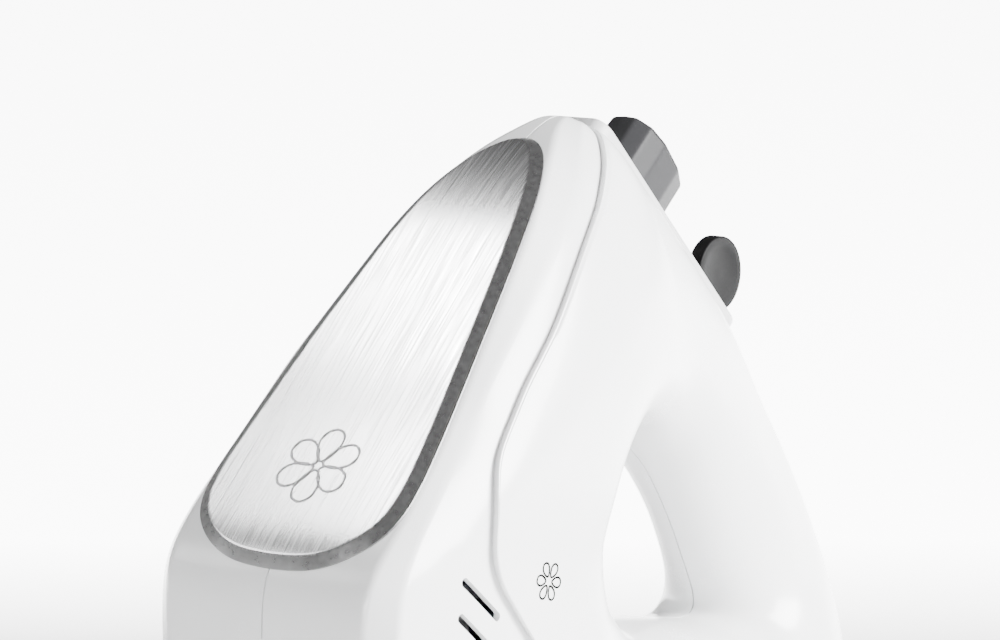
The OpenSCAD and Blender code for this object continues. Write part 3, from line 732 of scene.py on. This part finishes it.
def front_panel():
    """A raised sheet: its outline shrinks by the bevel as it rises, then closes on its spine."""
    n = 280
    p, nrm = panel_outline(n)
    spine = np.stack([0 * p[:, 0], np.clip(p[:, 1], 22, 120)], 1)
    r = 0.35
    levels = [(-0.4, 0), (0.12, 0), (0.3, 0.04), (PANEL_T - r * 0.5, PANEL_BEVEL - r),
              (PANEL_T - r * 0.15, PANEL_BEVEL - r * 0.35), (PANEL_T, PANEL_BEVEL + 0.1),
              (PANEL_T, PANEL_BEVEL + 0.5)]
    rings, flat = [], []
    for h, inset in levels:
        q = p - nrm * inset
        flat.append(q)
        rings.append(on_front(q[:, 0], q[:, 1], h + 0 * q[:, 0]))
    last = flat[-1]
    for t in np.linspace(0, 1, 15)[1:]:
        q = last * (1 - t) + spine * t
        flat.append(q)
        rings.append(on_front(q[:, 0], q[:, 1], PANEL_T + 0 * q[:, 0]))
    rings = np.stack(rings)
    thing = mesh_object("front_panel", [(rings, grid_faces(len(rings), n, wrap_v=True))],
                        "housing", "front_panel", BRUSHED, angle=18)
    bm = bmesh.new()
    bm.from_mesh(thing.data)
    face = max(bm.faces, key=lambda f: f.calc_area())
    if face.normal.z < 0:
        bmesh.ops.reverse_faces(bm, faces=bm.faces)
    bm.loops.layers.uv.new("sheet")
    bm.to_mesh(thing.data)
    bm.free()
    mesh = thing.data
    co = np.empty(len(mesh.vertices) * 3)
    mesh.vertices.foreach_get("co", co)
    co = co.reshape(-1, 3)
    along = np.interp(co[:, 1] / MM, _pf[:, 0], _arc) * MM
    index = np.empty(len(mesh.loops), int)
    mesh.loops.foreach_get("vertex_index", index)
    mesh.uv_layers["sheet"].data.foreach_set(
        "uv", np.stack([co[index, 0], along[index]], 1).ravel())
    mesh.materials.append(EDGE)
    normal = np.empty(len(mesh.polygons) * 3)
    mesh.polygons.foreach_get("normal", normal)
    centre = np.empty(len(mesh.polygons) * 3)
    mesh.polygons.foreach_get("center", centre)
    centre = centre.reshape(-1, 3) / MM
    length = np.interp(centre[:, 1], _pf[:, 0], _arc)
    up = on_front(0 * length, length, 1 + 0 * length) - on_front(0 * length, length,
                                                                   0 * length)
    slope = (normal.reshape(-1, 3) * up).sum(1)
    mesh.polygons.foreach_set("material_index", (slope < 0.93).astype(np.int32))
    mesh.update()
    return thing


panel = front_panel()


def ribbon(path, width, closed=True):
    """A flat band of the given width that follows a path in the plane."""
    g = (np.roll(path, -1, 0) - np.roll(path, 1, 0)) if closed else np.gradient(path, axis=0)
    g /= np.linalg.norm(g, axis=1)[:, None]
    n = np.stack([g[:, 1], -g[:, 0]], 1) * width / 2
    return np.stack([path + n, path - n], 1)


def petal(length, width, turn, n=48):
    """A closed leaf: x = w/2 sin(t) |sin(t/2)|, y = l/2 (1 - cos(t)), turned about the origin."""
    t = np.linspace(0, 2 * math.pi, n, endpoint=False)
    x = width / 2 * np.sin(t) * (0.35 + 0.65 * np.abs(np.sin(t / 2)))
    y = length / 2 * (1 - np.cos(t)) + 1.2
    c, s = math.cos(turn), math.sin(turn)
    return np.stack([x * c - y * s, x * s + y * c], 1)


def emblem():
    """Six raised leaf outlines round the centre, on the panel."""
    parts = []
    for k in range(6):
        band = ribbon(petal(9.2, 7.6, k * math.pi / 3), 0.55)
        soft = [(0.0, 1.25), (0.16, 1.0), (0.22, 0.6)]
        mid = band.mean(1, keepdims=True)
        rows = []
        for h, grow in soft:
            rows.append((mid + (band - mid) * grow, h))
        order = [rows[0][0][:, 0], rows[1][0][:, 0], rows[2][0][:, 0], rows[2][0][:, 1],
                 rows[1][0][:, 1], rows[0][0][:, 1]]
        heights = [0, 0.16, 0.22, 0.22, 0.16, 0]
        grid = np.stack([on_front(q[:, 0], q[:, 1] + 27.5, PANEL_T - 0.02 + h + 0 * q[:, 0])
                         for q, h in zip(order, heights)], 1)
        parts.append((grid, grid_faces(*grid.shape[:2], wrap_u=True, wrap_v=True)))
    return turned_outwards(mesh_object("emblem", parts, "housing", "emblem",
                                       EDGE, angle=60))


emblem()


def side_mark():
    """A small printed mark of leaf outlines on the right side. Its points lie on the
    quadratic patch x(y, z) that fits the wall around it best, a little way out."""
    wall = right.evaluated_get(bpy.context.evaluated_depsgraph_get()).to_mesh()
    near = np.empty(len(wall.vertices) * 3)
    wall.vertices.foreach_get("co", near)
    near = near.reshape(-1, 3) / MM - [0, *SIDE_MARK]
    near = near[(near[:, 0] > 5) & (np.hypot(near[:, 1], near[:, 2]) < 11)]
    near = near[near[:, 0] > near[:, 0].max() - 3]

    def powers(y, z):
        return np.stack([np.ones_like(y), y, z, y * y, y * z, z * z], -1)

    fit = powers(near[:, 1], near[:, 2])
    outer = np.ones(len(near), bool)
    for _ in range(4):
        patch = np.linalg.lstsq(fit[outer], near[outer, 0], rcond=None)[0]
        outer = near[:, 0] > fit @ patch - 0.25
    parts = []
    for k in range(6):
        band = ribbon(petal(3.4, 2.8, k * math.pi / 3 + 0.3), 0.48)
        x = powers(band[..., 0], band[..., 1]) @ patch + 0.07
        grid = np.concatenate([x[..., None], band + SIDE_MARK], -1)
        parts.append((grid, grid_faces(*grid.shape[:2], wrap_u=True)))
    thing = mesh_object("side_mark", parts, "housing", None, PRINT)
    bm = bmesh.new()
    bm.from_mesh(thing.data)
    bmesh.ops.reverse_faces(bm, faces=[f for f in bm.faces if f.normal.x < 0])
    bm.to_mesh(thing.data)
    bm.free()
    return thing


side_mark()


# ---------------------------------------------------------------- handle controls
def control_strip():
    """A rounded plate that narrows towards the nose, with its two windows cut out."""
    rings = plate_rings(STRIP_L, STRIP_W, 5.0, rolled(-3.2, 1.0, 0.5), 96)
    share = rings[..., 1] / STRIP_L
    rings[..., 0] *= (STRIP_TOP_W + (STRIP_W - STRIP_TOP_W) * (share + 0.5)) / STRIP_W
    thing = turned_outwards(mesh_object(
        "control_strip", capped(tilted(rings, STRIP_O, STRIP_TILT)), "housing",
        "control_strip", GREY))
    hole = plate_rings(BUTTON_L + 0.8, BUTTON_W + 0.8, BUTTON_W / 2 + 0.3,
                       [(-14, 0), (20, 0)], 64)
    slot = plate_rings(16.6, 22.6, 3.0, [(-6, 0), (6, 0)], 48)
    return cut_away(thing, [
        mesh_object("cutter", capped(tilted(hole, BUTTON_C, BUTTON_TILT)), None),
        mesh_object("cutter", capped(tilted(slot, STRIP_O, STRIP_TILT, SLIDER_S)), None)])


control_strip()


def eject_button():
    """A pushed cap: straight wall, rounded shoulder and a shallow dished top."""
    r, n = 1.6, 60
    levels = [(-9.5, 0), (BUTTON_H - r, 0)]
    levels += [(BUTTON_H - r + r * math.sin(a), r * (1 - math.cos(a)))
               for a in np.linspace(0.15, math.pi / 2, 8)]
    levels += [(BUTTON_H - 0.15, r + 1.2), (BUTTON_H - 0.45, r + 2.6), (BUTTON_H - 0.6, 6.6)]
    w, l = BUTTON_W / 2, BUTTON_L / 2
    quarter = np.array([[w, 0], [w, l - 9.2], [w - 1.7, l - 3.6], [w - 5.2, l - 0.35],
                        [0, l]])
    loop = np.concatenate([quarter[:-1], quarter[:0:-1] * [-1, 1], -quarter[:-1],
                           quarter[:0:-1] * [1, -1]])
    count = np.hypot(*(np.roll(loop, -1, 0) - loop).T)
    at = np.concatenate([[0], np.cumsum(count)])
    t = np.linspace(0, at[-1], 4 * n, endpoint=False)
    base = np.stack([np.interp(t, at, np.append(loop[:, k], loop[0, k]))
                     for k in (0, 1)], 1)
    for _ in range(4):
        base = 0.25 * np.roll(base, 1, 0) + 0.5 * base + 0.25 * np.roll(base, -1, 0)
    rings = np.stack([np.concatenate([base * [(w - i) / w, (l - i) / l],
                                      np.full((4 * n, 1), h)], 1) for h, i in levels])
    return turned_outwards(mesh_object(
        "eject_button", capped(tilted(rings, BUTTON_C, BUTTON_TILT)), "eject_button",
        "eject_button", DARK, angle=30))


eject_button()


def speed_slider():
    """A round tab on edge with softened rims, above a shield that closes the slot."""
    r = 0.55
    t = np.linspace(0, math.pi / 2, 5)
    profile = [(TAB_R - r * (1 - math.cos(a)), -TAB_T / 2 + r * (1 - math.sin(a)))
               for a in t[::-1]]
    profile += [(TAB_R - r * (1 - math.cos(a)), TAB_T / 2 - r * (1 - math.sin(a)))
                for a in t]
    disc = revolved([(1.0, -TAB_T / 2 + 0.25)] + [(6.5, -TAB_T / 2 + 0.25)]
                    + [(7.2, -TAB_T / 2)] + profile + [(7.2, TAB_T / 2)]
                    + [(6.5, TAB_T / 2 - 0.25), (1.0, TAB_T / 2 - 0.25)], 96)
    disc = np.stack([disc[..., 2] + TAB_X, disc[..., 0], disc[..., 1] + TAB_H], -1)
    tab = tilted(disc, STRIP_O, STRIP_TILT, SLIDER_S)
    foot = plate_rings(9, TAB_T - 1.4, 0.6, [(-5, 0), (2.5, 0)], 32)
    foot[..., 0] += TAB_X
    return turned_outwards(mesh_object(
        "speed_slider", capped(tab) + capped(tilted(foot, STRIP_O, STRIP_TILT, SLIDER_S)),
        "speed_slider", "speed_slider", BLACK))


speed_slider()


def slot_shield():
    """The thin dark plate under the slot, fixed to the strip."""
    rings = plate_rings(17.6, 24.0, 3.0, [(-2.6, 0), (-2.0, 0)], 48)
    slit = plate_rings(9.8, 22.4, 0.8, [(-6, 0), (6, 0)], 32)
    thing = turned_outwards(mesh_object(
        "slot_shield", capped(tilted(rings, STRIP_O, STRIP_TILT, SLIDER_S)), "housing",
        None, DARK))
    return cut_away(thing, [mesh_object(
        "cutter", capped(tilted(slit, STRIP_O, STRIP_TILT, SLIDER_S)), None)])


slot_shield()

def eject_coil():
    """The eject spring: a round wire carried along a helix."""
    turns, r, wire, z0, z1 = 5, 5.0, 0.5, 44.5, 57.5
    t = np.linspace(0, 1, 48 * turns + 1)[:, None]
    b = np.linspace(0, 2 * math.pi, 10, endpoint=False)[None, :]
    a = 2 * math.pi * turns * t
    rise = z0 + (z1 - z0) * t
    out = r + wire * np.cos(b)
    rings = np.stack([out * np.cos(a), SOCKET_Y + out * np.sin(a),
                      rise + wire * np.sin(b)], -1)
    thing = turned_outwards(mesh_object("eject_coil", capped(rings), "ejector",
                                        "eject_spring", STEEL))
    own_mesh(thing)
    return thing


eject_coil()

# ---------------------------------------------------------------- finishes of the CAD pieces
NODE_FINISH = {
    "base_plate": BASE_GREY, "gearbox_frame": BLACK, "spindle_bushes": BRONZE,
    "front_bearing": BRONZE, "rear_bearing": BRONZE, "motor_cradle": BLACK,
    "field_stack": LAMINATION, "field_coils": COPPER, "brush_holders": BLACK,
    "carbon_brushes": CARBON, "circuit_board": BOARD, "switch_module": BLACK,
    "cord_gland": RUBBER, "housing_screws": STEEL, "base_screws": STEEL,
    "eject_stem": GREY, "ejector_fork": GREY,
    "slider_carriage": BLACK, "rotor_shaft": STEEL, "armature_core": LAMINATION,
    "armature_windings": COPPER, "commutator": COPPER, "fan": BLACK, "worm": STEEL,
    "gear_left": NYLON, "spindle_left": STEEL, "gear_right": NYLON,
    "spindle_right": STEEL}
for name, finish in NODE_FINISH.items():
    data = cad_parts[name].data
    data.materials.clear()
    data.materials.append(finish)


# ---------------------------------------------------------------- floor, light and camera
def floor():
    """A flat pale floor far wider than the object. It glows where it is far behind it."""
    p = np.array([[-9000, -9000, -0.05], [9000, -9000, -0.05], [9000, 9000, -0.05],
                  [-9000, 9000, -0.05]], float)
    thing = mesh_object("floor", [(p, [[0, 1, 2, 3]])], None)
    f = Finish("pale_floor", (0.87, 0.87, 0.87), 0.6)
    f.feed("Base Color", f.mix(f.noise(3.0), (0.86, 0.86, 0.86), (0.88, 0.88, 0.88)))
    x = f.node("SeparateXYZ", Vector=f.node("TexCoord", out=3))
    y = f.node("SeparateXYZ", Vector=f.node("TexCoord", out=3), out=1)
    far = ((y * 0.8 - x * 0.6 - 0.12) * 5.0).clamp()
    f.feed("Emission Color", f.mix(far, (0, 0, 0), (1, 1, 1)))
    f.feed("Emission Strength", 9.0)
    thing.data.materials.append(f.mat)


floor()


def softbox(name, at, size, power, aim=(0, 0, 0.08)):
    """A rectangular area light at one point, aimed at another."""
    light = bpy.data.lights.new(name, "AREA")
    light.shape, light.size, light.size_y, light.energy = "RECTANGLE", *size, power
    thing = bpy.data.objects.new(name, light)
    thing.location = at
    thing.rotation_mode = "QUATERNION"
    thing.rotation_quaternion = (Vector(aim) - Vector(at)).to_track_quat("-Z", "Y")
    bpy.context.scene.collection.objects.link(thing)


world = bpy.data.worlds.new("studio")
world.use_nodes = True
world.node_tree.nodes["Background"].inputs["Color"].default_value = (1, 1, 1, 1)
world.node_tree.nodes["Background"].inputs["Strength"].default_value = 0.28
bpy.context.scene.world = world
softbox("side", (1.7, 0.75, 0.8), (1.1, 1.1), 270)
softbox("front", (0.4, -1.6, 0.3), (0.5, 0.3), 12)
softbox("streak", (-0.80, -0.21, 1.22), (0.2, 0.12), 3.4, (0, -0.06, 0.11))
softbox("low", (-1.2, -0.95, 1.1), (0.5, 0.5), 5, (0, -0.1, 0.08))

camera = bpy.data.cameras.new("camera")
camera.lens = LENS
camera.clip_start, camera.clip_end = 0.05, 50
eye = bpy.data.objects.new("camera", camera)
back = Vector((math.sin(EYE_AZIMUTH) * math.cos(EYE_ELEVATION),
               -math.cos(EYE_AZIMUTH) * math.cos(EYE_ELEVATION), math.sin(EYE_ELEVATION)))
eye.location = Vector(LOOK_AT * MM) + back * EYE_DISTANCE * MM
eye.rotation_mode = "QUATERNION"
eye.rotation_quaternion = back.to_track_quat("Z", "Y")
bpy.context.scene.collection.objects.link(eye)
bpy.context.scene.camera = eye
